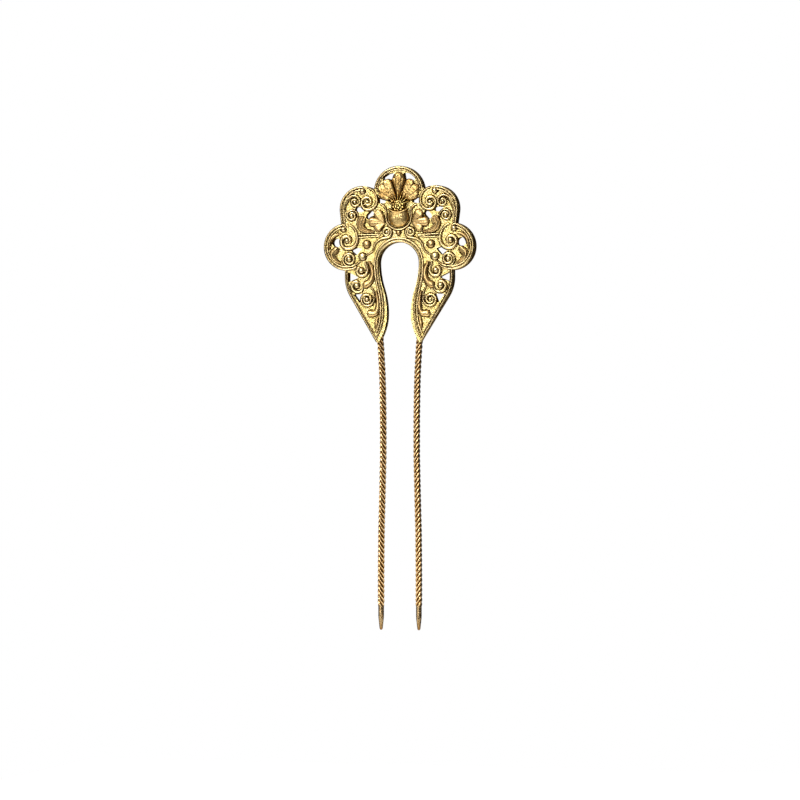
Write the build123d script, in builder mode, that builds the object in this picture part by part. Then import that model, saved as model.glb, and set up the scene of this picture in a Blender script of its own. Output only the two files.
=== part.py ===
from build123d import *
import cmath
import os
from math import asin, atan, cos, degrees, hypot, radians, sin, tan

# Two-pronged hair pin with a flat, hollow, openwork head.
# Millimetres, +Z up, +X to the right, the decorated front faces -Y.
# The origin is midway between the prong tips, at their level and at mid depth of the whole pin.

# ---- Driving dimensions ----
half_depth = 2.6            # the cup stands this far in front of mid depth, the back sheet behind it
back_sheet = 0.4            # thickness of the back sheet
front_sheet = 0.5           # thickness of the front sheet
prong_radius = 1.0          # over the ridges of the twist
rim_height = 0.6            # rims above the ground of the front sheet
rim_width = 0.75
strip = 0.4                 # thickness of the edge strips
collar = 0.3                # thickness of the collars in the piercings

# Depths along Y, back to front.
back_y = half_depth
cavity_back_y = back_y - back_sheet
cavity = 2 * prong_radius   # the sheets are one prong apart
cavity_front_y = cavity_back_y - cavity
ground_y = cavity_front_y - front_sheet
prong_y = cavity_back_y - prong_radius

# Head outline.
arch_z = 141.65
arch_radius = 8.35
upper_lobe = (12.34, 136.1)
upper_lobe_radius = 7.5
flank_angle = -7.9          # where the upper lobe's round side turns into its straight flank
lower_lobe = (17.5, 123.9)
lower_lobe_radius = 7.7
notch = (19.25, 131.3)      # between the upper and the lower lobe
arch_notch = (8.31, 142.43)  # between the arch and the upper lobe
leg_x = 18.1                # outer edge of a leg, where it leaves the lower lobe
leg_top_z = 116.22
leg_bend_z = 114.03
leg_bend_radius = 12.0
leg_tip = (6.95, 92.9)

# Horseshoe opening.
opening_z = 118.65
opening_radius = 6.65
waist = (4.0, 102.25)       # half width and height of its narrowest place
strip_end_z = 97.3          # the edge strips stop here, where the prong leaves the head

# Prongs.
tip_x = 6.31
tip_flat_radius = 0.5
straight_low_z = 4.2        # a prong tapers below this height
straight_high_z = 18.0      # and bows slightly inwards above this one
prong_top = (7.2, 103.5)
seat_low_z = 98.0
seat_high_z = 103.0
seat_gap = 0.9              # the solder cheeks stop short of the prong's crown by this width

# Relief above the ground.
wire_height = 0.55
leaf_height = 0.75
bead_height = 0.8
petal_height = 1.1
cup_height = half_depth + ground_y

sway_angle = 2 * degrees(atan((opening_radius - waist[0]) / (opening_z - waist[1])))
sway_radius = (opening_z - waist[1]) / (2 * sin(radians(sway_angle)))
tip_drop = waist[1] - leg_tip[1]
tip_run = leg_tip[0] - waist[0]
tip_radius = (tip_run**2 + tip_drop**2) / (2 * tip_run)
tip_angle = degrees(asin(tip_drop / tip_radius))
leg_bend_angle = 32.28

os.makedirs("parts", exist_ok=True)


# ---- Helpers ----
def level(y):
    """The plane at this depth that looks out of the front, with X and Z as its own axes."""
    return Plane.XZ.offset(-y)


def save(piece, name):
    piece.part.label = name
    export_step(piece.part, f"parts/{name}.step")


def save_pair(piece, name):
    """Write a piece of the right half and its mirror image."""
    save(piece, f"{name}_right")
    with BuildPart() as other:
        mirror(piece.part, about=Plane.YZ)
    save(other, f"{name}_left")


def opening_edge(inset, last_angle):
    """Right half of the horseshoe's edge, moved into the metal by inset, from crown to tip."""
    crown = CenterArc((0, opening_z), opening_radius + inset, 90, -90)
    upper = JernArc(crown @ 1, crown % 1, sway_radius + inset, -sway_angle)
    lower = JernArc(upper @ 1, upper % 1, sway_radius - inset, sway_angle)
    return JernArc(lower @ 1, lower % 1, tip_radius - inset, last_angle)


def leg_edge(inset, length):
    """Outer edge of the right leg, moved into the metal by inset, down to near its tip."""
    top = Line((leg_x - inset, leg_top_z), (leg_x - inset, leg_bend_z))
    bend = JernArc(top @ 1, top % 1, leg_bend_radius - inset, -leg_bend_angle)
    return Line(bend @ 1, (bend @ 1) + (bend % 1) * length)


def wire_along(path, width, height):
    """Sweep a D section, flat side on the ground, along a path in the current part."""
    along = path % 0
    with BuildSketch(Plane(path @ 0, x_dir=Vector(0, -1, 0).cross(along), z_dir=along)) as section:
        with BuildLine():
            base = Line((-width / 2, 0), (width / 2, 0))
            shoulder = height - width / 2
            Line(base @ 1, (width / 2, shoulder))
            ThreePointArc((width / 2, shoulder), (0, height), (-width / 2, shoulder))
            Line((-width / 2, shoulder), base @ 0)
        make_face()
    sweep(section.sketch, path=path)


def dome(x, z, radius, height):
    """A domed bead on the ground, the cap of a ball, added to the current part."""
    ball = (radius**2 + height**2) / (2 * height)
    with BuildSketch(Plane((x, ground_y, z), x_dir=(1, 0, 0), z_dir=(0, 0, 1))) as half:
        with BuildLine():
            CenterArc((0, ball - height), ball, -90, degrees(asin(radius / ball)))
            Polyline((radius, 0), (0, 0), (0, -height))
        make_face()
    revolve(half.sketch, axis=Axis((x, ground_y, z), (0, -1, 0)))


def volute_arcs(eye, reach, bearing, sense, quarters, shrink):
    """Quarter arcs of a spiral that closes on its eye, as (centre, radius, start, size).

    The outer end lies at the distance reach and the angle bearing from the eye, sense is 1 for
    anticlockwise, and each arc's radius is shrink times the one before it.
    """
    turn = 1j * sense
    closing = (1 - turn) / (1 - shrink * turn)
    radius = reach / abs(closing)
    outer = cmath.exp(1j * radians(bearing))
    spoke = outer * abs(closing) / closing
    centre = complex(*eye) + reach * outer - radius * spoke
    arcs = []
    while quarters > 0:
        part = min(1, quarters)
        start = degrees(cmath.phase(spoke))
        arcs.append(((centre.real, centre.imag), radius, start, 90 * part * sense))
        spoke = spoke * cmath.exp(1j * radians(90 * part * sense))
        centre = centre + (radius - radius * shrink) * spoke
        radius = radius * shrink
        quarters = quarters - part
    return arcs


def scroll(eye, reach, bearing, sense, quarters, shrink, stem, width, bead):
    """A wire scroll: a spiral with a bead at its eye, and a stem of tangent arcs."""
    with BuildLine(level(ground_y)) as route:
        arcs = [CenterArc(*arc) for arc in volute_arcs(eye, reach, bearing, sense, quarters, shrink)]
        here = arcs[0] @ 0
        heading = (arcs[0] % 0) * -1
        for x, z in stem:
            arc = TangentArc(here, Vector(x, ground_y, z), tangent=heading)
            here = arc @ 1
            heading = arc % 1
    with BuildPart() as piece:
        wire_along(route.wire(), width, wire_height)
        dome(*eye, bead, min(bead, bead_height))
    return piece


def leaf(strokes, height):
    """A leaf cut from sheet: each stroke is a row of discs (x, z, radius) joined by tangents."""
    with BuildPart() as piece:
        with BuildSketch(level(ground_y)):
            for discs in strokes:
                for (x1, z1, r1), (x2, z2, r2) in zip(discs, discs[1:]):
                    pair = [Pos(x1, z1) * Circle(r1, mode=Mode.PRIVATE),
                            Pos(x2, z2) * Circle(r2, mode=Mode.PRIVATE)]
                    make_hull(pair[0].edges() + pair[1].edges())
        extrude(amount=height)
    return piece


# ---- Outlines, drawn flat with X across and Z up ----
flank_x = upper_lobe[0] + upper_lobe_radius * cos(radians(flank_angle))
flank_z = upper_lobe[1] + upper_lobe_radius * sin(radians(flank_angle))
leg_run = hypot(leg_tip[0] - 16.25, leg_tip[1] - 107.63)

with BuildSketch() as outer_shape:
    with Locations((0, arch_z)):
        Circle(arch_radius)
    with Locations(upper_lobe):
        Circle(upper_lobe_radius)
    with Locations(lower_lobe):
        Circle(lower_lobe_radius)
    with BuildLine():
        slope = leg_edge(0, leg_run)
        Line(slope @ 1, (0, leg_tip[1]))
        Line((0, leg_tip[1]), (0, arch_z))
        Polyline((0, arch_z), upper_lobe, (flank_x, flank_z), notch, lower_lobe, (leg_x, leg_top_z))
    make_face()
    mirror(about=Plane.YZ)

with BuildSketch() as opening_shape:
    with BuildLine():
        end = opening_edge(0, tip_angle) @ 1
        Polyline(end, (leg_tip[0], leg_tip[1] - 5), (0, leg_tip[1] - 5), (0, opening_z + opening_radius))
    make_face()
    mirror(about=Plane.YZ)

with BuildSketch() as head_shape:
    add(outer_shape.sketch)
    add(opening_shape.sketch, mode=Mode.SUBTRACT)

with BuildSketch() as piercings_right:
    Polygon((1.5, 147.9), (3.6, 147.5), (5.3, 146.4), (5.45, 145.3), (2.0, 145.1), align=None)
    Polygon((7.0, 139.9), (5.6, 139.6), (4.35, 138.8), (4.6, 138.0), (7.0, 137.9), align=None)
    Polygon((16.3, 122.8), (14.0, 123.9), (12.4, 123.2), (14.3, 121.0), align=None)
    Polygon((17.0, 115.8), (17.0, 112.4), (13.4, 114.0), align=None)
    Polygon((15.3, 108.6), (11.8, 108.7), (13.0, 105.5), align=None)
    fillet(piercings_right.vertices(), 0.25)
    with Locations((13.2, 136.0)):
        SlotOverall(3.1, 1.6, rotation=5)
    with Locations((9.7, 134.2)):
        SlotOverall(3.1, 1.8, rotation=-48)
    with Locations((20.85, 125.3)):
        Circle(1.5)

with BuildSketch() as piercings:
    add(piercings_right.sketch)
    mirror(about=Plane.YZ)

with BuildSketch() as edge_band:
    add(outer_shape.sketch)
    offset(outer_shape.sketch, amount=-strip, mode=Mode.SUBTRACT)

# ---- Sheets ----
with BuildPart() as front_plate:
    with BuildSketch(level(cavity_front_y)):
        add(head_shape.sketch)
        add(piercings.sketch, mode=Mode.SUBTRACT)
    extrude(amount=front_sheet)
save(front_plate, "front_plate")

with BuildPart() as back_plate:
    with BuildSketch(level(back_y)):
        add(head_shape.sketch)
        add(piercings.sketch, mode=Mode.SUBTRACT)
    extrude(amount=back_sheet)
save(back_plate, "back_plate")


# ---- Edge strips between the sheets ----
def edge_strip(low, high):
    """The part of the outer edge strip that lies between two corners."""
    with BuildPart() as piece:
        with BuildSketch(level(cavity_back_y)):
            add(edge_band.sketch)
            with Locations(((low[0] + high[0]) / 2, (low[1] + high[1]) / 2)):
                Rectangle(high[0] - low[0], high[1] - low[1], mode=Mode.INTERSECT)
        extrude(amount=cavity)
    return piece


save(edge_strip((-arch_notch[0], arch_notch[1]), (arch_notch[0], 152)), "arch_wall")
save_pair(edge_strip((arch_notch[0], notch[1]), (22, 146)), "upper_lobe_wall")
save_pair(edge_strip((leg_x, leg_top_z), (27, notch[1])), "lower_lobe_wall")
save_pair(edge_strip((leg_tip[0], strip_end_z), (leg_x, leg_top_z)), "leg_wall")

with BuildPart() as opening_wall:
    with BuildSketch(level(cavity_back_y)):
        offset(opening_shape.sketch, amount=strip)
        add(opening_shape.sketch, mode=Mode.SUBTRACT)
        with Locations((0, (strip_end_z + 130) / 2)):
            Rectangle(20, 130 - strip_end_z, mode=Mode.INTERSECT)
    extrude(amount=cavity)
save(opening_wall, "opening_wall")

with BuildPart() as piercing_collars:
    for hole in piercings_right.faces():
        with BuildSketch(level(cavity_back_y)):
            offset(hole, amount=collar)
            add(hole, mode=Mode.SUBTRACT)
        extrude(amount=cavity)
save_pair(piercing_collars, "piercing_collars")

# ---- Prongs ----
with BuildLine(level(prong_y)) as prong_axis:
    foot = Line((tip_x, straight_low_z), (tip_x, straight_high_z))
    bow = TangentArc(foot @ 1, Vector(5.85, prong_y, 45), tangent=foot % 1)
    belly = TangentArc(bow @ 1, Vector(5.6, prong_y, 68), tangent=bow % 1)
    rise = TangentArc(belly @ 1, Vector(5.75, prong_y, 78), tangent=belly % 1)
    flare = TangentArc(rise @ 1, Vector(6.2, prong_y, 88.6), tangent=rise % 1)
    Line(flare @ 1, Vector(prong_top[0], prong_y, prong_top[1]))

with BuildPart() as prong:
    with BuildSketch(level(prong_y)):
        with BuildLine():
            axis_low = (tip_x, 0)
            nose = TangentArc(axis_low, (tip_x + tip_flat_radius, 0.45), tangent=(1, 0))
            Polyline(nose @ 1, (tip_x + prong_radius, straight_low_z), (tip_x, straight_low_z), axis_low)
        make_face()
    revolve(axis=Axis((tip_x, prong_y, 0), (0, 0, 1)))
    with BuildSketch(Plane.XY.offset(straight_low_z)) as prong_section:
        with Locations((tip_x, prong_y)):
            Circle(prong_radius)
    sweep(prong_section.sketch, path=prong_axis.wire())
save_pair(prong, "prong")

seat_slope = (prong_top[0] - 6.2) / (prong_top[1] - 88.6)


def prong_x(z):
    """Where the straight top of the prong is at this height."""
    return prong_top[0] + (z - prong_top[1]) * seat_slope


with BuildPart() as prong_seat:
    with BuildSketch(level(cavity_back_y)):
        offset(outer_shape.sketch, amount=-strip)
        offset(opening_shape.sketch, amount=strip, mode=Mode.SUBTRACT)
        with Locations((8, (seat_low_z + seat_high_z) / 2)):
            Rectangle(12, seat_high_z - seat_low_z, mode=Mode.INTERSECT)
        Polygon((prong_x(95) - seat_gap / 2, 95), (prong_x(95) + seat_gap / 2, 95),
                (prong_x(105) + seat_gap / 2, 105), (prong_x(105) - seat_gap / 2, 105),
                align=None, mode=Mode.SUBTRACT)
    extrude(amount=cavity)
    add(prong.part, mode=Mode.SUBTRACT)
save_pair(prong_seat, "prong_seat")

# ---- Rims on the front sheet ----
rim_inset = rim_width / 2

with BuildPart() as arch_rim:
    with BuildLine(level(ground_y)) as arch_route:
        CenterArc((0, arch_z), arch_radius - rim_inset, 9, 162)
    wire_along(arch_route.wire(), rim_width, rim_height)
save(arch_rim, "arch_rim")


def lobe_rim(centre, radius, start, size, flank, bud):
    """The rim of a lobe: round its outside, over the top and curled into a bud."""
    with BuildLine(level(ground_y)) as route:
        side = CenterArc(centre, radius - rim_inset, start, size)
        JernArc(side @ 1, side % 1, 0.85, 100)
        if flank:
            Line((side @ 0) - (side % 0) * flank, side @ 0)
    with BuildPart() as piece:
        wire_along(route.wire(), rim_width, rim_height)
        dome(*bud, 0.85, bead_height)
    return piece


save_pair(lobe_rim(upper_lobe, upper_lobe_radius, flank_angle, 96, 3.6, (12.1, 141.9)), "upper_lobe_rim")
save_pair(lobe_rim(lower_lobe, lower_lobe_radius, -116, 196, 0, (18.5, 129.7)), "lower_lobe_rim")

with BuildPart() as leg_rim:
    with BuildLine(level(ground_y)) as leg_route:
        leg_edge(rim_inset, leg_run - 0.6)
    wire_along(leg_route.wire(), rim_width, rim_height)
save_pair(leg_rim, "leg_rim")

with BuildPart() as opening_rim:
    with BuildLine(level(ground_y)) as opening_route:
        opening_edge(rim_inset, tip_angle - 4)
        mirror(about=Plane.YZ)
    wire_along(opening_route.wire(), rim_width, rim_height)
save(opening_rim, "opening_rim")

# ---- Wire scrolls ----
save_pair(scroll((10.45, 138.4), 3.1, 185, 1, 5.6, 0.78, [(8.6, 142.0), (10.5, 143.0)], 0.5, 0.6),
          "upper_lobe_scroll")
save_pair(scroll((17.3, 125.9), 3.5, 175, 1, 4.2, 0.74, [(15.2, 130.2), (17.0, 131.1)], 0.6, 0.8),
          "lower_lobe_scroll")
save_pair(scroll((14.7, 138.45), 2.05, 80, 1, 4.5, 0.8, [(16.9, 139.3), (18.0, 137.2), (18.0, 135.4)],
                 0.45, 0.6), "crescent_scroll")
save_pair(scroll((15.7, 134.0), 2.0, 165, -1, 5.5, 0.86, [(13.7, 133.3)], 0.45, 0.75), "stem_scroll")
save_pair(scroll((16.55, 119.9), 2.3, 270, 1, 6, 0.88, [(14.6, 118.0), (13.0, 119.2)], 0.5, 0.9),
          "lobe_spiral")
save_pair(scroll((10.6, 106.9), 2.4, 180, 1, 6.5, 0.86, [(8.4, 109.3), (9.2, 110.8)], 0.5, 0.7),
          "leg_spiral")

centre_scroll = scroll((3.95, 128.6), 1.75, 250, -1, 5.5, 0.87,
                       [(5.5, 126.4), (7.6, 124.3), (8.9, 122.3), (11.0, 121.3)], 0.5, 0.65)
with centre_scroll:
    dome(12.1, 120.7, 1.3, bead_height)
save_pair(centre_scroll, "centre_scroll")

leg_bead_scrolls = scroll((12.5, 116.2), 2.1, 180, 1, 2.6, 0.8, [(10.7, 117.7), (11.1, 119.0)], 0.6, 0.95)
with leg_bead_scrolls:
    add(scroll((14.0, 111.4), 2.3, 230, 1, 2.6, 0.78, [(11.9, 110.6)], 0.6, 0.95).part)
save_pair(leg_bead_scrolls, "leg_bead_scrolls")

with BuildPart() as cross_bars:
    for ends in (((6.3, 127.75), (13.4, 127.95)), ((6.6, 127.3), (13.4, 126.9))):
        with BuildLine(level(ground_y)) as bar_route:
            Line(*ends)
        wire_along(bar_route.wire(), 0.35, 0.45)
save_pair(cross_bars, "cross_bars")

# ---- Leaves ----
save_pair(leaf([[(12.3, 132.8, 1.05), (12.8, 131.4, 1.0), (12.3, 130.1, 0.85), (11.0, 129.1, 0.6),
                 (9.5, 128.8, 0.4), (8.2, 128.7, 0.15)]], leaf_height), "paisley_leaf")
save_pair(leaf([[(5.1, 131.9, 0.3), (5.9, 133.4, 0.8), (6.8, 134.7, 1.2)],
                [(5.1, 131.6, 0.3), (7.0, 131.9, 0.9), (9.2, 131.9, 1.25)],
                [(5.1, 131.3, 0.3), (6.1, 130.5, 0.7), (7.0, 129.8, 1.0)]], leaf_height), "trefoil_leaf")
save_pair(leaf([[(19.6, 128.2, 0.12), (21.0, 127.9, 0.35), (22.4, 126.9, 0.4), (23.2, 125.3, 0.35),
                 (23.3, 123.4, 0.12)]], leaf_height), "lobe_crescent")
save_pair(leaf([[(21.0, 122.8, 0.85), (22.1, 121.7, 0.85), (21.8, 120.3, 0.6), (20.6, 119.1, 0.4),
                 (19.5, 118.6, 0.15)]], leaf_height), "lobe_comma_leaf")
save_pair(leaf([[(8.9, 118.2, 0.2), (8.8, 115.2, 0.45), (9.4, 112.9, 0.7), (10.5, 111.9, 0.8)],
                [(7.4, 109.3, 0.15), (6.7, 106.0, 0.4), (6.9, 103.6, 0.55), (7.9, 102.2, 0.7),
                 (9.2, 102.3, 0.95)],
                [(7.1, 100.9, 0.2), (7.4, 99.4, 0.45), (7.5, 97.3, 0.12)]], leaf_height), "leg_leaves")

# ---- The flower ----
save(leaf([[(0, 140.4, 0.75), (0, 143.0, 1.15), (0, 145.0, 1.65), (0, 145.9, 1.95)]], petal_height),
     "middle_petal")
save_pair(leaf([[(1.65, 140.1, 0.5), (2.6, 142.2, 1.15), (3.6, 144.1, 1.4)],
                [(1.9, 139.9, 0.5), (3.9, 140.9, 1.0), (5.5, 141.8, 1.4)]], petal_height), "side_petal")

cup_radius = 3.5
cup_z = 133.7
cup_lip_z = 134.8

with BuildPart() as flower_cup:
    dome(0, cup_z, cup_radius, cup_height)
    with Locations((0, 0, cup_lip_z)):
        Box(20, 20, 10, align=(Align.CENTER, Align.CENTER, Align.MIN), mode=Mode.SUBTRACT)
save(flower_cup, "flower_cup")

with BuildPart() as seed_head:
    dome(0, 137.1, 2.3, 1.8)
    with Locations((0, 0, cup_lip_z)):
        Box(20, 20, 10, align=(Align.CENTER, Align.CENTER, Align.MAX), mode=Mode.SUBTRACT)
save(seed_head, "seed_head")

frame_x = 4.2
with BuildPart() as cup_frame:
    with BuildLine(level(ground_y)) as frame_route:
        bowl = CenterArc((0, cup_z), frame_x, -90, 90)
        side = Line((frame_x, cup_z), (frame_x, 135.4))
        JernArc(side @ 1, side % 1, 2.2, -75)
        mirror(about=Plane.YZ)
    wire_along(frame_route.wire(), 0.55, wire_height)
save(cup_frame, "cup_frame")

with BuildPart() as ground_beads:
    dome(0, 128.4, 0.8, bead_height)
    for side_x in (-10.7, 10.7):
        dome(side_x, 124.7, 1.3, bead_height)
save(ground_beads, "ground_beads")
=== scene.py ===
import cmath
import random
from bisect import bisect_right
from math import asin, atan, cos, degrees, exp, hypot, pi, radians, sin, sqrt, tau

import bpy
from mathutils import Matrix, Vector
from mathutils.bvhtree import BVHTree


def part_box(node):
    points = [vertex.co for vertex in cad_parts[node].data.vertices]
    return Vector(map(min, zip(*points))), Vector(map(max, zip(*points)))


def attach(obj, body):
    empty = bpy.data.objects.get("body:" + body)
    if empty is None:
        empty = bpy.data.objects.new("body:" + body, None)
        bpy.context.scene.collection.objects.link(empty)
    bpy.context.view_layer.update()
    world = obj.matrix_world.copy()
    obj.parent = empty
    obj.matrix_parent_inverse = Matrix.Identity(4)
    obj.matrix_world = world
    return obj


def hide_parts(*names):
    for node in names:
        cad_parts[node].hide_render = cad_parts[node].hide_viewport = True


# Gilt two-pronged hair pin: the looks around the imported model.
# Shapes are worked out in millimetres, as complex numbers x + zi on the face of the head, and
# written to the meshes in metres. Depths are Y, and -Y is the decorated front.
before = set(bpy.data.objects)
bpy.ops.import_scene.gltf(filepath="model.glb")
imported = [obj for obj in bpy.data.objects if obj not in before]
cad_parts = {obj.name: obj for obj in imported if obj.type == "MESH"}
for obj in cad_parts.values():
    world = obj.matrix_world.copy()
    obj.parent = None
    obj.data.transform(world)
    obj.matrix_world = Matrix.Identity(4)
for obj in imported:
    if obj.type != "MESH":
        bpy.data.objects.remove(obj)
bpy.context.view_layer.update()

MM = 0.001
random.seed(7)

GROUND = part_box("front_plate")[0].y / MM       # the face of the front sheet
SUNK = 0.12                                    # how far a piece's foot goes into the sheet
SHADE_SKIRT = 0.25                                   # a ring of painted shade, dark brown, round each piece's foot
FLANGE = 0.03                                  # how thick that ring of painted shade is
CAP_ANGLES = (0.35, 0.7, 1.0, 1.25, 1.5)       # radians round the end of a band
PRONG_Y = sum(c.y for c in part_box("prong_right")) / 2 / MM
SIDES = (("right", 1), ("left", -1))

# ---- The outline's driving values, as in the CAD source ----
ARCH, ARCH_R = complex(0, 141.65), 8.35
UPPER, UPPER_R = complex(12.34, 136.1), 7.5
FLANK_ANGLE = -7.9
LOWER, LOWER_R = complex(17.5, 123.9), 7.7
LEG_X, LEG_TOP, LEG_BEND_Z, LEG_BEND_R, LEG_BEND = 18.1, 116.22, 114.03, 12.0, 32.28
LEG_TIP = complex(6.95, 92.9)
OPENING_Z, OPENING_R = 118.65, 6.65
WAIST = complex(4.0, 102.25)
SWAY = 2 * degrees(atan((OPENING_R - WAIST.real) / (OPENING_Z - WAIST.imag)))
SWAY_R = (OPENING_Z - WAIST.imag) / (2 * sin(radians(SWAY)))
TIP_DROP, TIP_RUN = WAIST.imag - LEG_TIP.imag, LEG_TIP.real - WAIST.real
TIP_R = (TIP_RUN**2 + TIP_DROP**2) / (2 * TIP_RUN)
TIP_ANGLE = degrees(asin(TIP_DROP / TIP_R))


# ---- Lines on the face ----
def turn(degrees_round):
    return cmath.exp(1j * radians(degrees_round))


def arc(centre, radius, start, size, step=4):
    """Points of an arc about a centre, from the angle start, round by size degrees."""
    count = max(2, int(abs(size) / step) + 1)
    return [centre + radius * turn(start + size * k / count) for k in range(count + 1)]


def bend(line, radius, size):
    """The line with a tangent arc added: size above 0 turns left."""
    heading = line[-1] - line[-2]
    heading /= abs(heading)
    side = 1j if size > 0 else -1j
    centre = line[-1] + heading * side * radius
    return line + arc(centre, radius, degrees(cmath.phase(-heading * side)), size)[1:]


def chain(start, heading, stops, step=5):
    """Tangent arcs from start, first along heading, through each stop."""
    line, here = [start], start
    heading /= abs(heading)
    for stop in stops:
        chord = complex(*stop) - here
        half = cmath.phase(chord / heading)
        if abs(half) < 1e-3:
            line.append(here + chord)
        else:
            radius = abs(chord) / (2 * sin(half))
            centre = here + heading * 1j * radius
            count = max(2, int(abs(degrees(2 * half)) / step) + 1)
            line += [centre + (here - centre) * cmath.exp(2j * half * k / count)
                     for k in range(1, count + 1)]
        heading *= cmath.exp(2j * half)
        here = complex(*stop)
    return line


def volute(eye, reach, bearing, sense, quarters, shrink):
    """Quarter arcs that close on the eye: the line, and its heading at the outer end."""
    quarter = 1j * sense
    closing = (1 - quarter) / (1 - shrink * quarter)
    radius = reach / abs(closing)
    outer = turn(bearing)
    spoke = outer * abs(closing) / closing
    centre = complex(*eye) + reach * outer - radius * spoke
    line = [centre + radius * spoke]
    first = spoke * quarter
    while quarters > 0:
        part = min(1, quarters)
        line += arc(centre, radius, degrees(cmath.phase(spoke)), 90 * part * sense)[1:]
        spoke *= turn(90 * part * sense)
        centre += (radius - radius * shrink) * spoke
        radius *= shrink
        quarters -= part
    return line, first


def scroll_line(eye, reach, bearing, sense, quarters, shrink, stem):
    """From the free end of the stem, round the spiral and in to its eye."""
    spiral, first = volute(eye, reach, bearing, sense, quarters, shrink)
    return chain(spiral[0], -first, stem)[::-1] + spiral[1:]


def even(line, spacing=0.16):
    """The same line with points at even spacing."""
    runs = [0.0]
    for a, b in zip(line, line[1:]):
        runs.append(runs[-1] + abs(b - a))
    count = max(3, int(runs[-1] / spacing))
    points = []
    for k in range(count + 1):
        want = runs[-1] * k / count
        i = min(max(bisect_right(runs, want) - 1, 0), len(line) - 2)
        share = (want - runs[i]) / max(runs[i + 1] - runs[i], 1e-9)
        points.append(line[i] + (line[i + 1] - line[i]) * min(share, 1))
    return points


def smooth_through(discs, parts=8):
    """Catmull-Rom through discs (x, z, radius), as a list of the same."""
    ends = [tuple(2 * a - b for a, b in zip(discs[0], discs[1])), *discs,
            tuple(2 * a - b for a, b in zip(discs[-1], discs[-2]))]
    fine = []
    for near in zip(ends, ends[1:], ends[2:], ends[3:]):
        for k in range(parts):
            t = k / parts
            fine.append(tuple(
                b + t * ((c - a) / 2
                         + t * (a - 2.5 * b + 2 * c - d / 2 + t * (1.5 * (b - c) + (d - a) / 2)))
                for a, b, c, d in zip(*near)))
    return fine + [tuple(discs[-1])]


def opening_line(inset, last_angle):
    """Right half of the horseshoe, moved into the metal by inset, from crown to tip."""
    line = arc(complex(0, OPENING_Z), OPENING_R + inset, 90, -90)
    line = bend(line, SWAY_R + inset, -SWAY)
    line = bend(line, SWAY_R - inset, SWAY)
    return bend(line, TIP_R - inset, last_angle)


def leg_line(inset, length):
    """Outer edge of the right leg, moved into the metal by inset."""
    top = complex(LEG_X - inset, LEG_TOP)
    line = bend([top, complex(LEG_X - inset, LEG_BEND_Z)], LEG_BEND_R - inset, -LEG_BEND)
    heading = line[-1] - line[-2]
    return line + [line[-1] + heading / abs(heading) * length]


def swell(share, count=2, depth=0.04, phase=0.0):
    """A hand-made unevenness of width."""
    return 1 + depth * sin(tau * count * share + phase)


# ---- Cross sections: height, 0 to 1, across the width, u from -1 to 1 ----
def round_wire(u):
    return sqrt(max(0, 1 - u * u))


def ridged(u):
    """A full leaf with a rolled edge and a low inner ridge."""
    return sqrt(max(0, 1 - u**4)) * (0.74 + 0.26 * cos(2.6 * pi * u))


def full(u):
    """A rounded petal, flat on top, with a shallow hollow along its middle."""
    return sqrt(max(0, 1 - u**4)) * (0.86 + 0.14 * (u * u))


def veined(u):
    """A petal that is full at its sides and has a fine groove for its midrib."""
    return sqrt(max(0, 1 - u * u)) * (1 - 0.16 * exp(-(u / 0.14) ** 2))


def rim_section(u):
    """Highest near the inner side, with a long slope down to the outer edge."""
    return sqrt(max(0, 1 - u * u)) * (0.72 - 0.28 * u)


def crescent(u):
    """High along the outer edge, hollow towards the inner one."""
    return sqrt(max(0, 1 - u * u)) * (0.72 - 0.28 * sin(2.2 * u))


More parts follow.
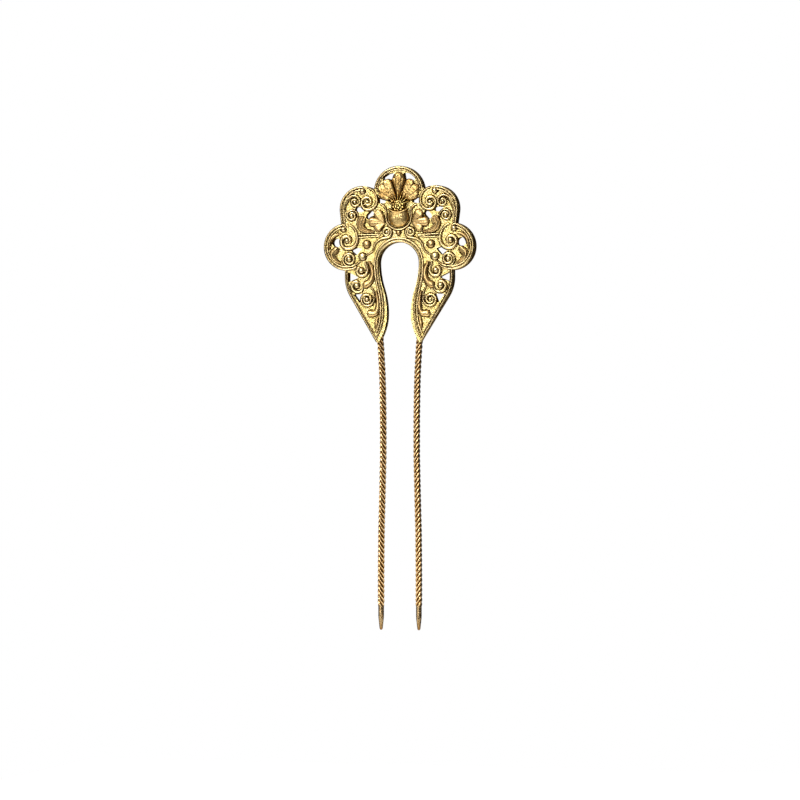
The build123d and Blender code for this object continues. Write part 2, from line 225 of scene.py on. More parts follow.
# ---- Meshes ----
class Shape:
    """Gathers faces in millimetres and makes one mesh object of them."""

    def __init__(self):
        self.points, self.faces, self.rises = [], [], []

    def grid(self, rows, rises):
        """Joins rows of points of one length into a skin, closed at both ends."""
        base, width = len(self.points), len(rows[0])
        for row in rows:
            self.points += row
        for row in rises:
            self.rises += row
        for r in range(len(rows) - 1):
            for c in range(width):
                d = (c + 1) % width
                self.faces.append((base + r * width + c, base + r * width + d,
                                   base + (r + 1) * width + d, base + (r + 1) * width + c))
        self.faces.append(tuple(base + c for c in reversed(range(width))))
        self.faces.append(tuple(base + (len(rows) - 1) * width + c for c in range(width)))

    def ribbon(self, line, half_width, height, section=round_wire, across=12, floor=GROUND,
               skirt=SHADE_SKIRT):
        """A raised band with round ends. half_width and height take the share of the way along."""
        line = even(line)
        count = len(line) - 1
        stations = []
        for k, point in enumerate(line):
            heading = line[min(k + 1, count)] - line[max(k - 1, 0)]
            heading /= abs(heading)
            stations.append((point, heading, half_width(k / count), 1.0))
        p, h, w, _ = stations[0]
        stations = [(p - h * w * sin(a), h, w * cos(a), cos(a) ** 0.5)
                    for a in reversed(CAP_ANGLES)] + stations
        p, h, w, _ = stations[-1]
        stations += [(p + h * w * sin(a), h, w * cos(a), cos(a) ** 0.5) for a in CAP_ANGLES]
        rows, rises = [], []
        for k, (point, heading, half, drop) in enumerate(stations):
            left = heading * 1j
            rise = height(min(max((k - len(CAP_ANGLES)) / count, 0), 1)) * drop
            row, levels = [], []
            for side in (-1, 1):
                rim = point - left * (half + skirt * drop) * side
                flange = [(rim.real, floor + SUNK, rim.imag), (rim.real, floor - FLANGE, rim.imag)]
                row += flange[::-side]
                # rise 0 for the skirt ring, so it takes the brown of painted shade round the band's foot.
                levels += [0, 0]
                if side < 0:
                    for c in range(across + 1):
                        u = -cos(pi * c / across)
                        place = point - left * half * u
                        share = section(u)
                        above = FLANGE + max(0, rise * share - FLANGE)
                        row.append((place.real, floor - above, place.imag))
                        # The rise follows the section's height, so the band's low sides and round ends are
                        # painted with shade.
                        levels.append(share * min(1, drop + 0.2))
            rows.append(row)
            rises.append(levels)
        self.grid(rows, rises)

    def lathe(self, x, z, profile, sides, floor=GROUND, fade=1.0):
        """Turns a profile of (radius, height) about the depth axis. fade above 1 paints shade on its
        sides, browner towards the foot.
        """
        top = max(h for _, h in profile)
        rows = [[(x + r * cos(tau * c / sides), floor - h, z + r * sin(tau * c / sides))
                 for c in range(sides)] for r, h in profile]
        self.grid(rows, [[(max(0, h) / top) ** fade] * sides for _, h in profile])

    def bead(self, x, z, radius, height, floor=GROUND):
        """A domed bead with a small foot round it."""
        steps = [radians(a) for a in (12, 25, 38, 51, 64, 76, 86)]
        foot = [(radius + SHADE_SKIRT, -SUNK), (radius + SHADE_SKIRT, FLANGE), (radius, FLANGE)]
        crown = [(radius * cos(a), FLANGE + (height - FLANGE) * sin(a)) for a in steps]
        # 1.8: the bead's lower sides and foot ring take the brown of painted shade.
        self.lathe(x, z, foot + crown, 28, floor, 1.8)

    def leaf(self, discs, height, section=ridged, across=18):
        """A leaf along a row of discs, highest where it is widest."""
        fine = smooth_through(discs)
        line = [complex(x, z) for x, z, _ in fine]
        radii = [r + 0.08 for _, _, r in fine]
        top = max(radii)

        def half(share):
            at = share * (len(radii) - 1)
            i = min(int(at), len(radii) - 2)
            return radii[i] + (radii[i + 1] - radii[i]) * (at - i)

        self.ribbon(line, half, lambda s: height * (0.45 + 0.55 * half(s) / top), section, across)

    def make(self, name, material, nodes, flip=False):
        """Writes the mesh, and stands it in for the CAD nodes."""
        sign = -1 if flip else 1
        mesh = bpy.data.meshes.new(name)
        mesh.from_pydata([(sign * x * MM, y * MM, z * MM) for x, y, z in self.points], [],
                         [tuple(reversed(f)) for f in self.faces] if flip else self.faces)
        mesh.polygons.foreach_set("use_smooth", [True] * len(mesh.polygons))
        mesh.materials.append(material)
        level = mesh.attributes.new("rise", "FLOAT", "POINT")
        level.data.foreach_set("value", self.rises)
        mesh.update()
        piece = bpy.data.objects.new(name, mesh)
        bpy.context.scene.collection.objects.link(piece)
        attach(piece, "root")
        if nodes:
            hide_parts(*nodes)
        return piece

    def make_pair(self, name, material, node):
        """The piece for the right half and its mirror image for the left."""
        for side, sign in SIDES:
            self.make(f"{name}_{side}", material, [f"{node}_{side}"], sign < 0)


# ---- Materials ----
class Nodes:
    """A short way to write a node tree."""

    def __init__(self, material):
        material.use_nodes = True
        self.tree = material.node_tree
        self.shader = self.tree.nodes["Principled BSDF"]
        coords = self.tree.nodes.new("ShaderNodeTexCoord")
        self.where = coords.outputs["Object"]

    def noise(self, size_mm, detail=3.0, rough=0.55, distortion=0.0):
        """Noise with features of about this size."""
        node = self.tree.nodes.new("ShaderNodeTexNoise")
        node.inputs["Scale"].default_value = 1 / (size_mm * MM)
        node.inputs["Detail"].default_value = detail
        node.inputs["Roughness"].default_value = rough
        node.inputs["Distortion"].default_value = distortion
        self.tree.links.new(self.where, node.inputs["Vector"])
        return node.outputs["Fac"]

    def cells(self, size_mm):
        """Distance to the nearest of scattered points, for punch marks."""
        node = self.tree.nodes.new("ShaderNodeTexVoronoi")
        node.inputs["Scale"].default_value = 1 / (size_mm * MM)
        self.tree.links.new(self.where, node.inputs["Vector"])
        return node.outputs["Distance"]

    def ramp(self, value, low, high, start=0.0, end=1.0):
        node = self.tree.nodes.new("ShaderNodeMapRange")
        node.interpolation_type = "SMOOTHSTEP"
        for socket, number in zip(("From Min", "From Max", "To Min", "To Max"), (low, high, start, end)):
            node.inputs[socket].default_value = number
        self.tree.links.new(value, node.inputs["Value"])
        return node.outputs["Result"]

    def mix(self, share, first, second):
        """Colour between two colours or outputs."""
        node = self.tree.nodes.new("ShaderNodeMix")
        node.data_type = "RGBA"
        self.tree.links.new(share, node.inputs[0])
        for socket, colour in ((node.inputs[6], first), (node.inputs[7], second)):
            if isinstance(colour, tuple):
                socket.default_value = (*colour, 1)
            else:
                self.tree.links.new(colour, socket)
        return node.outputs[2]

    def attribute(self, name):
        node = self.tree.nodes.new("ShaderNodeAttribute")
        node.attribute_name = name
        return node.outputs["Fac"]

    def occlusion(self, reach_mm):
        """Near 0 in grooves and corners, 1 in the open."""
        node = self.tree.nodes.new("ShaderNodeAmbientOcclusion")
        node.samples = 6
        node.inputs["Distance"].default_value = reach_mm * MM
        return node.outputs["AO"]

    def maths(self, operation, first, second):
        node = self.tree.nodes.new("ShaderNodeMath")
        node.operation = operation
        for socket, value in zip(node.inputs, (first, second)):
            if isinstance(value, (int, float)):
                socket.default_value = value
            else:
                self.tree.links.new(value, socket)
        return node.outputs[0]

    def bump(self, height, depth_mm, strength, before=None):
        node = self.tree.nodes.new("ShaderNodeBump")
        node.inputs["Strength"].default_value = strength
        node.inputs["Distance"].default_value = depth_mm * MM
        self.tree.links.new(height, node.inputs["Height"])
        if before is not None:
            self.tree.links.new(before, node.inputs["Normal"])
        return node.outputs["Normal"]


def gilt(name, bright, worn, dark, roughness, tarnish_and_shade=(0.3, 0.9), reach=1.0, wear=0.5,
         punch=0.0, foot=0.0, grain=0.3, grain_mm=0.35, metal=1.0):
    """Gilding: two golds in soft patches, brown in the grooves as patina and painted shade, and the
    marks of tools and wear.

    tarnish is the range of openness over which the brown gives way to gold, looked at within
    reach millimetres; that brown is patina and painted shade. wear shifts the patches, punch is the
    size of punch marks, foot is the share of a relief's rise that stays brown as painted shade, and
    grain is the strength of the fine speckle.
    """
    material = bpy.data.materials.new(name)
    made = Nodes(material)
    patches = made.ramp(made.noise(3.2, 4, 0.6, 0.4), wear - 0.16, wear + 0.2)
    gold = made.mix(patches, bright, worn)
    speckle = made.ramp(made.noise(grain_mm, 3, 0.7), 0.42, 0.75, 0, grain)
    gold = made.mix(speckle, gold, dark)
    # Painted shade with patina: the colour goes brown where the occlusion finds the surface closed in, in
    # grooves and next to reliefs.
    open_share = made.ramp(made.occlusion(reach), *tarnish_and_shade)
    worn_edge = made.maths("MULTIPLY_ADD", made.noise(0.8, 3, 0.6), 0.35)
    worn_edge.node.inputs[2].default_value = -0.17
    shade = made.maths("ADD", open_share, worn_edge)
    shade.node.use_clamp = True
    # Painted shade: the low parts of each relief, read from its rise attribute, are mixed towards the
    # brown.
    if foot:
        shade = made.maths("MULTIPLY", shade, made.ramp(made.attribute("rise"), 0.02, foot))
    colour = made.mix(shade, dark, gold)
    made.tree.links.new(colour, made.shader.inputs["Base Color"])
    made.tree.links.new(colour, made.shader.inputs["Specular Tint"])
    rough = made.ramp(made.noise(0.6, 4, 0.6), 0.3, 0.75, roughness - 0.08, roughness + 0.14)
    rough = made.maths("ADD", rough, made.maths("MULTIPLY", made.maths("SUBTRACT", 1, shade), 0.25))
    made.tree.links.new(rough, made.shader.inputs["Roughness"])
    normal = made.bump(made.noise(0.9, 3, 0.55), 0.05, 0.5)
    normal = made.bump(made.noise(0.16, 2, 0.6), 0.012, 0.5, normal)
    if punch:
        normal = made.bump(made.cells(punch), 0.09, 0.9, normal)
    made.tree.links.new(normal, made.shader.inputs["Normal"])
    made.shader.inputs["Metallic"].default_value = metal
    return material


YELLOW = (0.92, 0.72, 0.25)
PALE = (0.94, 0.77, 0.36)
RIM_GOLD = (0.86, 0.67, 0.31)
BEIGE = (0.74, 0.56, 0.29)
ORANGE = (0.78, 0.50, 0.15)
BROWN = (0.085, 0.033, 0.001)
UMBER = (0.09, 0.045, 0.018)

ground_gold = gilt("ground_gold", YELLOW, PALE, BROWN, 0.38, (0.42, 0.80), reach=1.4,
                   punch=0.42, grain=0.6)
rim_gold = gilt("rim_gold", RIM_GOLD, BEIGE, BROWN, 0.30, (0.32, 0.80), foot=0.74)
scroll_gold = gilt("scroll_gold", PALE, BEIGE, BROWN, 0.30, (0.38, 0.86), foot=0.74)
leaf_gold = gilt("leaf_gold", (0.68, 0.48, 0.20), (0.46, 0.30, 0.12), BROWN, 0.34, (0.38, 0.86),
                 reach=1.2, foot=0.66)
petal_gold = gilt("petal_gold", (0.72, 0.52, 0.21), (0.46, 0.28, 0.09), BROWN, 0.38, (0.38, 0.85),
                  reach=1.2, wear=0.48, punch=0.6, foot=0.4, grain=0.7, grain_mm=0.6)
seed_gold = gilt("seed_gold", YELLOW, ORANGE, BROWN, 0.36, (0.15, 0.62), punch=0.3, foot=0.4)
# Dark brown for the edge strips and collars: painted shade, as if these walls were in shadow.
shaded_edge_gold = gilt("shaded_edge_gold", (0.27, 0.165, 0.08), (0.17, 0.10, 0.045), UMBER, 0.45, wear=0.42)
back_gold = gilt("back_gold", YELLOW, BEIGE, (0.40, 0.25, 0.09), 0.40, reach=1.5, wear=0.55,
                 grain=0.2, grain_mm=1.1, metal=0.6)
prong_gold = gilt("prong_gold", (0.78, 0.56, 0.29), (0.56, 0.36, 0.15), (0.11, 0.040, 0.003), 0.24,
                  (0.5, 0.95), reach=0.9, foot=1.0)
solder_grey = gilt("solder", (0.40, 0.31, 0.18), BEIGE, UMBER, 0.5)

# ---- CAD nodes that stay: the sheets, the edge strips, the collars and the solder ----
for node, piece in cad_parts.items():
    if node == "front_plate":
        material = ground_gold
    elif node == "back_plate":
        material = back_gold
    elif node.startswith("prong_seat"):
        material = solder_grey
    # The edge strips and collars take the dark brown of painted shade.
    else:
        material = shaded_edge_gold
    piece.data.materials.clear()
    piece.data.materials.append(material)

# ---- Punched grains on the ground ----
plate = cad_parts["front_plate"].data
tree = BVHTree.FromPolygons([v.co for v in plate.vertices], [p.vertices for p in plate.polygons])
plate_low, plate_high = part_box("front_plate")
GRAIN_PITCH, GRAIN_SCATTER, GRAIN_CLEAR = 0.55, 0.17, 0.3
PROBE_START, PROBE_REACH = 1.0, 1.3            # a probe from in front of the sheet finds its face
AROUND = ((GRAIN_CLEAR, 0), (-GRAIN_CLEAR, 0), (0, GRAIN_CLEAR), (0, -GRAIN_CLEAR))


def on_sheet(x, z):
    """Whether the front sheet is there at this point."""
    start = Vector((x * MM, (GROUND - PROBE_START) * MM, z * MM))
    return tree.ray_cast(start, Vector((0, 1, 0)), PROBE_REACH * MM)[0]


grains = Shape()
z = plate_low.z / MM
row = 0
while z < plate_high.z / MM:
    x = plate_low.x / MM + (row % 2) * GRAIN_PITCH / 2
    while x < plate_high.x / MM:
        gx = x + random.uniform(-GRAIN_SCATTER, GRAIN_SCATTER)
        gz = z + random.uniform(-GRAIN_SCATTER, GRAIN_SCATTER)
        radius = random.uniform(0.13, 0.21)
        if all(on_sheet(gx + dx, gz + dz) for dx, dz in AROUND):
            grains.lathe(gx, gz, [(radius, -0.03), (radius, 0.0), (radius * 0.75, 0.06),
                                  (radius * 0.3, 0.09)], 7)
        x += GRAIN_PITCH
    z += GRAIN_PITCH * 0.87
    row += 1
grains.make("ground_grains", ground_gold, [])

# ---- Rims: a strong outer wire and a low inner band with a groove between ----
RIM = 0.75
RIM_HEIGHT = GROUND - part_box("arch_rim")[0].y / MM
BAND_HEIGHT = 0.38
ARCH_BAND, LOBE_BAND, LEG_BAND, OPENING_BAND = 0.4, 0.55, 0.24, 0.66
ARCH_INSET, LOBE_INSET, LEG_INSET, OPENING_INSET = 1.15, 1.27, 0.98, 1.33
BUD_R = 0.95


def rim_pair(shape, outer, inner, band):
    """The outer wire and the inner band, whose width is band."""
    shape.ribbon(outer, lambda s: (RIM / 2 - 0.06) * swell(s, 5, 0.03),
                 lambda s: RIM_HEIGHT * swell(s, 3, 0.04), rim_section, skirt=0.05)
    shape.ribbon(inner, lambda s: band / 2 * swell(s, 7, 0.06, 1), lambda s: BAND_HEIGHT,
                 skirt=min(0.13, band / 4))


def both_halves(half):
    """A line of the right half and its mirror image, joined at the middle."""
    return [-p.conjugate() for p in half][::-1] + half[1:]


shape = Shape()
rim_pair(shape, arc(ARCH, ARCH_R - RIM / 2, 9, 162), arc(ARCH, ARCH_R - ARCH_INSET, 2, 176), ARCH_BAND)
shape.make("arch_rim_wires", rim_gold, ["arch_rim"])


def lobe_side(centre, radius, start, size, flank):
    """An arc with a straight run of this length before it."""
    side = arc(centre, radius, start, size)
    if flank:
        heading = side[1] - side[0]
        side.insert(0, side[0] - heading / abs(heading) * flank)
    return side


def lobe_rim(name, node, centre, radius, start, size, flank, bud):
    """The rim of a lobe, curled over at its end, where a bud hangs."""
    outer = lobe_side(centre, radius - RIM / 2, start, size, flank)
    inner = lobe_side(centre, radius - LOBE_INSET, start, size - 3, flank)
    made = Shape()
    rim_pair(made, bend(outer, 0.85, 100), bend(inner, 0.45, 70), LOBE_BAND)
    made.bead(*bud, BUD_R, BUD_R)
    made.make_pair(name, rim_gold, node)


lobe_rim("upper_lobe_rim_wires", "upper_lobe_rim", UPPER, UPPER_R, FLANK_ANGLE, 96, 3.6, (12.1, 141.9))
lobe_rim("lower_lobe_rim_wires", "lower_lobe_rim", LOWER, LOWER_R, -116, 196, 0, (18.5, 129.7))

LEG_RUN = abs(LEG_TIP - complex(16.25, 107.63))
shape = Shape()
rim_pair(shape, leg_line(RIM / 2, LEG_RUN - 0.6)[::-1], leg_line(LEG_INSET, LEG_RUN - 3.2)[::-1], LEG_BAND)
shape.make_pair("leg_rim_wires", rim_gold, "leg_rim")

shape = Shape()
rim_pair(shape, both_halves(opening_line(RIM / 2, TIP_ANGLE - 4)),
         both_halves(opening_line(OPENING_INSET, TIP_ANGLE - 12)), OPENING_BAND)
shape.make("opening_rim_wires", rim_gold, ["opening_rim"])


# ---- Wire scrolls: tapered to the stem's end, closing on a bead ----
def scroll(shape, width, height, line):
    """A wire that is thin at the stem's end and full round the spiral."""
    shape.ribbon(line, lambda s: width / 2 * (0.5 + 0.95 * min(1, s * 2.2)) * swell(s, 4, 0.03),
                 lambda s: height * (0.65 + 0.55 * min(1, s * 2.5)))


def scroll_piece(name, node, bead, width, height, eye, *spiral, blade=None):
    """A scroll with a bead at its eye, and a leaf blade beside its wire if one is given."""
    made = Shape()
    if blade:
        made.leaf(blade, 0.85, crescent)
    scroll(made, width, height, scroll_line(eye, *spiral))
    made.bead(*eye, bead, min(bead, 0.85))
    made.make_pair(name, scroll_gold, node)


scroll_piece("upper_lobe_scroll_wire", "upper_lobe_scroll", 0.62, 0.62, 0.6,
             (10.45, 138.4), 3.1, 185, 1, 5.6, 0.78, [(8.6, 142.0), (10.5, 143.0)])
scroll_piece("lower_lobe_scroll_wire", "lower_lobe_scroll", 0.85, 0.75, 0.65,
             (17.3, 125.9), 3.5, 175, 1, 4.2, 0.74, [(15.2, 130.2), (17.0, 131.1)])
scroll_piece("crescent_scroll_wire", "crescent_scroll", 0.6, 0.5, 0.55,
             (14.7, 138.45), 2.05, 80, 1, 4.5, 0.8, [(16.9, 139.3), (18.0, 137.2), (18.0, 135.4)],
             blade=[(15.0, 140.5, 0.2), (16.3, 139.9, 0.4), (17.4, 138.7, 0.5),
                    (18.1, 136.9, 0.42), (18.2, 135.4, 0.15)])
scroll_piece("stem_scroll_wire", "stem_scroll", 0.75, 0.5, 0.55,
             (15.7, 134.0), 2.0, 165, -1, 5.5, 0.86, [(13.7, 133.3)])
scroll_piece("lobe_spiral_wire", "lobe_spiral", 0.9, 0.55, 0.6,
             (16.55, 119.9), 2.3, 270, 1, 6, 0.88, [(14.6, 118.0), (13.0, 119.2)])
scroll_piece("leg_spiral_wire", "leg_spiral", 0.75, 0.55, 0.6,
             (10.6, 106.9), 2.4, 180, 1, 6.5, 0.86, [(8.4, 109.3), (9.2, 110.8)])

shape = Shape()
scroll(shape, 0.55, 0.6, scroll_line((3.95, 128.6), 1.75, 270, -1, 5.5, 0.87,
                                     [(6.2, 126.3), (8.2, 123.6), (9.2, 122.1), (11.0, 121.0)]))
shape.bead(3.95, 128.6, 0.65, 0.65)
shape.bead(12.1, 120.7, 1.3, 0.85)
shape.make_pair("centre_scroll_wire", scroll_gold, "centre_scroll")

shape = Shape()
for eye, *spiral in (((12.5, 116.2), 2.1, 180, 1, 2.6, 0.8, [(10.7, 117.7), (11.1, 119.0)]),
                     ((14.0, 111.4), 2.3, 230, 1, 2.6, 0.78, [(11.9, 110.6)])):
    scroll(shape, 0.75, 0.65, scroll_line(eye, *spiral))
    shape.bead(*eye, 0.98, 0.85)
shape.make_pair("leg_bead_scroll_wire", scroll_gold, "leg_bead_scrolls")

shape = Shape()
for a, b in ((complex(6.3, 127.75), complex(13.4, 127.95)),
             (complex(6.6, 127.3), complex(13.4, 126.9))):
    shape.ribbon([a, b], lambda s: 0.2, lambda s: 0.45)
shape.make_pair("cross_bar_wires", scroll_gold, "cross_bars")

# ---- Leaves ----
shape = Shape()
shape.leaf([(12.3, 132.5, 1.25), (12.8, 131.3, 1.15), (12.3, 130.0, 0.95), (11.0, 129.1, 0.65),
            (9.5, 128.8, 0.4), (8.2, 128.7, 0.15)], 1.0, ridged)
shape.make_pair("paisley_leaf_full", leaf_gold, "paisley_leaf")

shape = Shape()
shape.leaf([(5.0, 131.6, 0.5), (6.1, 131.8, 1.2), (6.9, 131.9, 1.6)], 0.8, round_wire)
shape.leaf([(5.1, 131.9, 0.4), (5.9, 133.2, 1.0), (6.7, 134.3, 1.5)], 1.0, full)
shape.leaf([(5.1, 131.3, 0.4), (6.1, 130.6, 0.85), (6.9, 130.0, 1.25)], 0.95, full)
shape.leaf([(5.1, 131.6, 0.4), (7.0, 131.9, 1.2), (8.7, 132.0, 1.5)], 1.1, veined)
shape.make_pair("trefoil_leaf_full", leaf_gold, "trefoil_leaf")

shape = Shape()
shape.leaf([(19.6, 128.2, 0.15), (21.0, 127.9, 0.45), (22.4, 126.9, 0.55), (23.1, 125.3, 0.45),
            (23.3, 123.4, 0.15)], 0.8, round_wire)
shape.make_pair("lobe_crescent_full", leaf_gold, "lobe_crescent")

shape = Shape()
shape.leaf([(20.9, 122.9, 0.95), (22.0, 121.8, 1.0), (21.8, 120.4, 0.75), (20.6, 119.2, 0.5),
            (19.5, 118.6, 0.2)], 0.95, crescent)
shape.make_pair("lobe_comma_leaf_full", leaf_gold, "lobe_comma_leaf")

shape = Shape()
shape.leaf([(9.9, 118.9, 0.3), (8.9, 116.6, 0.55), (8.8, 114.4, 0.75), (9.7, 112.5, 0.9),
            (11.0, 111.6, 1.05)], 1.0, round_wire)
shape.leaf([(7.5, 109.3, 0.2), (6.9, 106.0, 0.5), (7.1, 103.7, 0.65), (7.9, 102.4, 0.8),
            (9.5, 102.3, 1.05)], 1.0, round_wire)
shape.leaf([(7.1, 100.9, 0.25), (7.4, 99.4, 0.5), (7.5, 97.3, 0.15)], 0.7, veined)
shape.make_pair("leg_leaves_full", leaf_gold, "leg_leaves")

# ---- The flower ----
shape = Shape()
shape.leaf([(-0.3, 142.2, 0.5), (-0.8, 144.0, 0.8), (-1.2, 145.3, 1.0)], 1.0, round_wire)
shape.leaf([(0.3, 142.2, 0.5), (0.8, 144.0, 0.8), (1.2, 145.3, 1.0)], 1.0, round_wire)
shape.leaf([(0, 139.6, 0.6), (0, 142.2, 1.0), (0, 144.3, 1.45), (0, 146.0, 1.8)], 1.25, veined, 24)
shape.make("middle_petal_full", petal_gold, ["middle_petal"])

shape = Shape()
shape.leaf([(1.7, 139.6, 0.6), (3.3, 141.0, 1.6), (4.3, 142.0, 2.2)], 0.9, round_wire, 22)
shape.leaf([(2.0, 139.3, 0.45), (3.8, 140.0, 1.0), (5.3, 140.7, 1.3)], 0.95, full, 22)
shape.leaf([(1.8, 139.6, 0.5), (3.8, 141.3, 1.25), (5.4, 142.6, 1.45)], 1.1, full, 22)
shape.leaf([(1.5, 139.9, 0.5), (2.7, 142.2, 1.2), (3.7, 144.2, 1.5)], 1.2, full, 22)
shape.make_pair("side_petal_full", petal_gold, "side_petal")

# The cup is a dome cut off by a sagging lip, with a fine crossed hatch.
CUP_R, CUP_Z, LIP_Z, LIP_SAG = 3.5, 133.6, 134.9, 1.5
CUP_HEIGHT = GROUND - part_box("flower_cup")[0].y / MM
CUP_ROWS, CUP_SIDES, HATCH_PITCH = 30, 84, 1.0
shape = Shape()
rows = []
for k in range(CUP_ROWS):
    up = pi / 2 * k / (CUP_ROWS - 0.5)
    rows.append([])
    for c in range(CUP_SIDES):
        a = tau * c / CUP_SIDES
        x = CUP_R * cos(up) * cos(a)
        z = min(CUP_R * cos(up) * sin(a), LIP_Z - CUP_Z + LIP_SAG * (x / CUP_R) ** 2)
        height = CUP_HEIGHT * 0.98 * sqrt(1 - min(1, hypot(x, z) / CUP_R) ** 2)
        crossed = cos(tau * (x + z) / HATCH_PITCH) * cos(tau * (x - z) / HATCH_PITCH)
        hatch = 0.09 * crossed * sin(up) ** 0.3
        rows[-1].append((x, GROUND - max(height - 0.08 + hatch, 0), CUP_Z + z))
rows.insert(0, [(x, GROUND + SUNK, z) for x, _, z in rows[0]])
# The cup's rise follows its height, so its low edge is painted with shade.
shape.grid(rows, [[min(1, max(0, GROUND - y) / 0.6) for _, y, _ in row] for row in rows])
lip = [complex(x / 10, LIP_Z + LIP_SAG * (x / 10 / CUP_R) ** 2) for x in range(-31, 32)]
shape.ribbon(lip, lambda s: 0.16 + 0.26 * sin(pi * s), lambda s: 0.35 + 0.65 * sin(pi * s),
             floor=GROUND - 1.2)
shape.make("flower_cup_full", petal_gold, ["flower_cup"])

SEED_Z, SEED_R, SEED_HEIGHT = 137.1, 2.3, 1.5
shape = Shape()
shape.bead(0, SEED_Z, SEED_R, SEED_HEIGHT)
for ring, count in ((0.0, 1), (0.8, 5), (1.55, 10)):
    for k in range(count):
        a = tau * (k + 0.5 * (ring > 1)) / count
        x, z = ring * cos(a), ring * sin(a)
        top = SEED_HEIGHT * sqrt(max(0, 1 - (ring / SEED_R) ** 2))
        shape.bead(x, SEED_Z + z, 0.34, 0.28, GROUND - top + 0.04)
for k in range(-4, 5):                         # the calyx ribs fan out over the petals
    way = turn(90 + 17 * k)
    foot = complex(0, SEED_Z)
    reach = 5.0 - 0.3 * abs(k)
    shape.ribbon([foot + way * 2.1, foot + way * (reach - 0.8), foot + way * reach],
                 lambda s: 0.24 * (1 - 0.4 * s), lambda s: 1.7 - 0.45 * s, skirt=0.02)
shape.make("seed_head_full", seed_gold, ["seed_head"])

shape = Shape()
bowl = arc(complex(0, CUP_Z), 4.2, -90, 90) + [complex(4.2, 135.4)]
half = bend(bowl, 2.2, -75)
shape.ribbon(both_halves(half), lambda s: 0.28, lambda s: 0.55)
shape.make("cup_frame_wire", rim_gold, ["cup_frame"])

shape = Shape()
shape.bead(0, 128.4, 0.8, 0.8)
for side_x in (-10.7, 10.7):
    shape.bead(side_x, 124.7, 1.3, 0.85)
shape.make("ground_bead_domes", leaf_gold, ["ground_beads"])

# ---- Prongs: ridged rods twisted opposite ways, with a smooth round end ----
TIP_X = 6.31
STRAIGHT_TOP, PRONG_TOP = 18, 103.4
prong_axis = chain(complex(TIP_X, STRAIGHT_TOP), 1j, [(5.85, 45), (5.6, 68), (5.75, 78), (6.2, 88.6)])
prong_axis.append(complex(7.2, 103.5))


def prong_centre(z):
    """Where the prong's axis is at this height."""
    if z <= STRAIGHT_TOP:
        return TIP_X
    i = max(0, min(len(prong_axis) - 2, bisect_right([q.imag for q in prong_axis], z) - 1))
    low, high = prong_axis[i], prong_axis[i + 1]
    return low.real + (high.real - low.real) * (z - low.imag) / (high.imag - low.imag)


RIDGES, LEAD = 4, 6.4                          # number of ridges, and height of one whole turn
SMOOTH_R, GROOVE_R, RIDGE_RISE = 0.92, 0.72, 0.4
SMOOTH_LEVEL = 0.76                            # the smooth end's place between brown and gold
TWIST_LOW, TWIST_FADE = 7.2, 1.6               # the ridges grow out of the smooth end
RING, STEP = 40, 0.11
NOSE = ((0.16, 0.0), (0.34, 0.12), (0.46, 0.32), (0.53, 0.6), (0.62, 1.5), (0.75, 2.7), (0.88, 3.9),
        (0.915, 4.5), (SMOOTH_R, 5.4), (SMOOTH_R, 6.4), (SMOOTH_R, 7.0))    # radius, height
rows, levels = [], []
for r, z in NOSE:
    rows.append([(TIP_X + r * cos(tau * c / RING), PRONG_Y + r * sin(tau * c / RING), z)
                 for c in range(RING)])
    # The nose grows browner towards its point: painted shade.
    levels.append([min(SMOOTH_LEVEL, 0.2 + z / 4)] * RING)
z = TWIST_LOW
while z < PRONG_TOP:
    grown = min(1, max(0, (z - TWIST_LOW) / TWIST_FADE))
    grown = grown * grown * (3 - 2 * grown)
    phase = tau * z / LEAD
    rows.append([])
    levels.append([])
    for c in range(RING):
        a = tau * c / RING
        ridge = (0.5 + 0.5 * cos(RIDGES * (a - phase))) ** 1.1
        r = SMOOTH_R + grown * (GROOVE_R + RIDGE_RISE * ridge - SMOOTH_R)
        rows[-1].append((prong_centre(z) + r * cos(a), PRONG_Y + r * sin(a), z))
        # The grooves between the ridges take the brown: painted shade.
        levels[-1].append(SMOOTH_LEVEL + grown * (ridge - SMOOTH_LEVEL))
    z += STEP
shape = Shape()
shape.grid(rows, levels)
shape.make_pair("twisted_prong", prong_gold, "prong")

# ---- Stage, light and camera ----
BACKDROP, STUDIO_LOW, STUDIO_HIGH = 1.0, 0.03, 0.50
FLOOR_Z, FLOOR_HALF = -0.0575, 0.16
floor_mesh = bpy.data.meshes.new("floor")
floor_mesh.from_pydata([(x * FLOOR_HALF, y * FLOOR_HALF, FLOOR_Z)
                        for x, y in ((-1, -1), (1, -1), (1, 1), (-1, 1))], [], [(0, 1, 2, 3)])
floor = bpy.data.objects.new("floor", floor_mesh)
bpy.context.scene.collection.objects.link(floor)
white = bpy.data.materials.new("pale_floor")
paint = Nodes(white)
paint.tree.links.new(paint.mix(paint.noise(60, 2), (0.93, 0.93, 0.93), (0.95, 0.95, 0.95)),
                     paint.shader.inputs["Base Color"])
paint.shader.inputs["Roughness"].default_value = 0.9
paint.shader.inputs["Emission Color"].default_value = (1, 1, 1, 1)
paint.shader.inputs["Emission Strength"].default_value = 0.9
floor_mesh.materials.append(white)

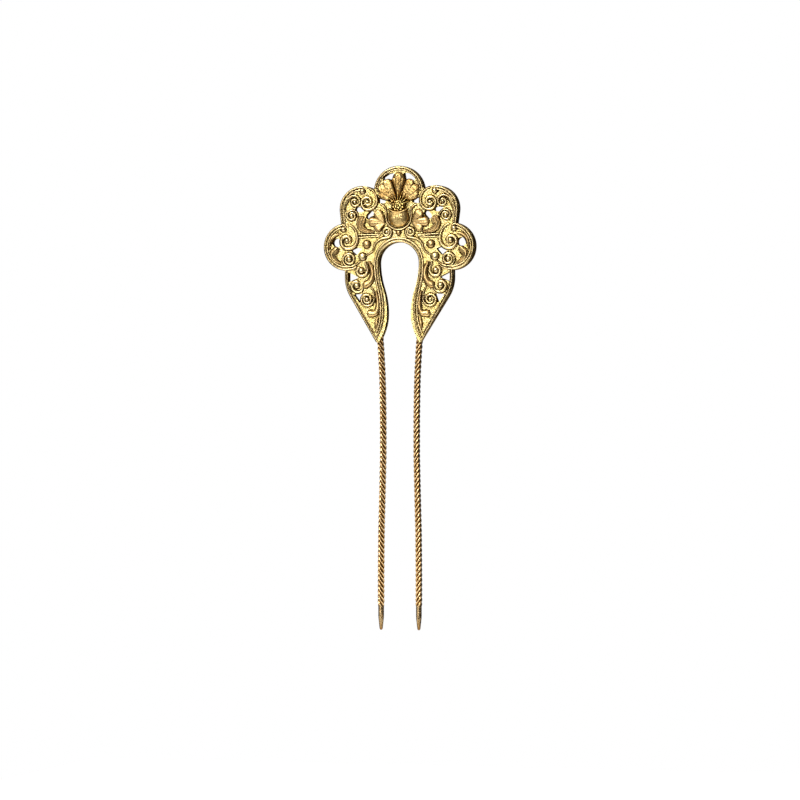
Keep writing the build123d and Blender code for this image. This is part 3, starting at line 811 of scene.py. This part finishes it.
# The backdrop is white to the camera. What the metal reflects is a dim room, brighter from above,
# from the front and from the left.
world = bpy.data.worlds.new("studio")
world.use_nodes = True
sky = world.node_tree
sky.nodes["Background"].inputs["Color"].default_value = (1, 1, 1, 1)
sky.nodes["Background"].inputs["Strength"].default_value = BACKDROP
direction = sky.nodes.new("ShaderNodeTexCoord")
parts = sky.nodes.new("ShaderNodeSeparateXYZ")
sky.links.new(direction.outputs["Generated"], parts.inputs[0])
slope = parts.outputs["Z"]
for axis, weight in (("X", -0.25), ("Y", -0.35)):
    term = sky.nodes.new("ShaderNodeMath")
    term.operation = "MULTIPLY_ADD"
    term.inputs[1].default_value = weight
    sky.links.new(parts.outputs[axis], term.inputs[0])
    sky.links.new(slope, term.inputs[2])
    slope = term.outputs[0]
fade = sky.nodes.new("ShaderNodeMapRange")
fade.interpolation_type = "SMOOTHSTEP"
for socket, number in zip(("From Min", "From Max", "To Min", "To Max"),
                          (0.0, 1.15, STUDIO_LOW, STUDIO_HIGH)):
    fade.inputs[socket].default_value = number
sky.links.new(slope, fade.inputs["Value"])
room = sky.nodes.new("ShaderNodeBackground")
room.inputs["Color"].default_value = (1.0, 0.98, 0.94, 1)
sky.links.new(fade.outputs["Result"], room.inputs["Strength"])
seen = sky.nodes.new("ShaderNodeLightPath")
chosen = sky.nodes.new("ShaderNodeMixShader")
sky.links.new(seen.outputs["Is Camera Ray"], chosen.inputs[0])
sky.links.new(room.outputs[0], chosen.inputs[1])
sky.links.new(sky.nodes["Background"].outputs[0], chosen.inputs[2])
sky.links.new(chosen.outputs[0], sky.nodes["World Output"].inputs["Surface"])
bpy.context.scene.world = world


def soft_light(name, place, size, power):
    """A square soft light aimed at the pin's head."""
    data = bpy.data.lights.new(name, "AREA")
    data.size = size
    data.energy = power
    light = bpy.data.objects.new(name, data)
    light.location = place
    light.rotation_euler = (Vector((0, 0, 0.12)) - Vector(place)).to_track_quat("-Z", "Y").to_euler()
    bpy.context.scene.collection.objects.link(light)


soft_light("key", (-0.30, -0.66, 0.70), 0.33, 8)
soft_light("front", (-0.10, -0.95, 0.22), 0.32, 2.9)
soft_light("low", (-0.55, -0.60, -0.20), 0.4, 0.6)
soft_light("back", (-0.45, 0.65, 0.35), 0.5, 9)

YAW, LENS, SENSOR, WIDTH_SEEN = radians(15), 200, 36, 258.62 * MM
middle = Vector((0, PRONG_Y * MM, 74.35 * MM))
camera_data = bpy.data.cameras.new("camera")
camera_data.lens = LENS
camera_data.sensor_width = SENSOR
camera = bpy.data.objects.new("camera", camera_data)
away = Vector((sin(YAW), -cos(YAW), 0))
camera.location = middle + away * (WIDTH_SEEN * LENS / SENSOR)
camera.rotation_euler = (-away).to_track_quat("-Z", "Y").to_euler()
bpy.context.scene.collection.objects.link(camera)
bpy.context.scene.camera = camera
bpy.context.scene.view_settings.view_transform = "Standard"
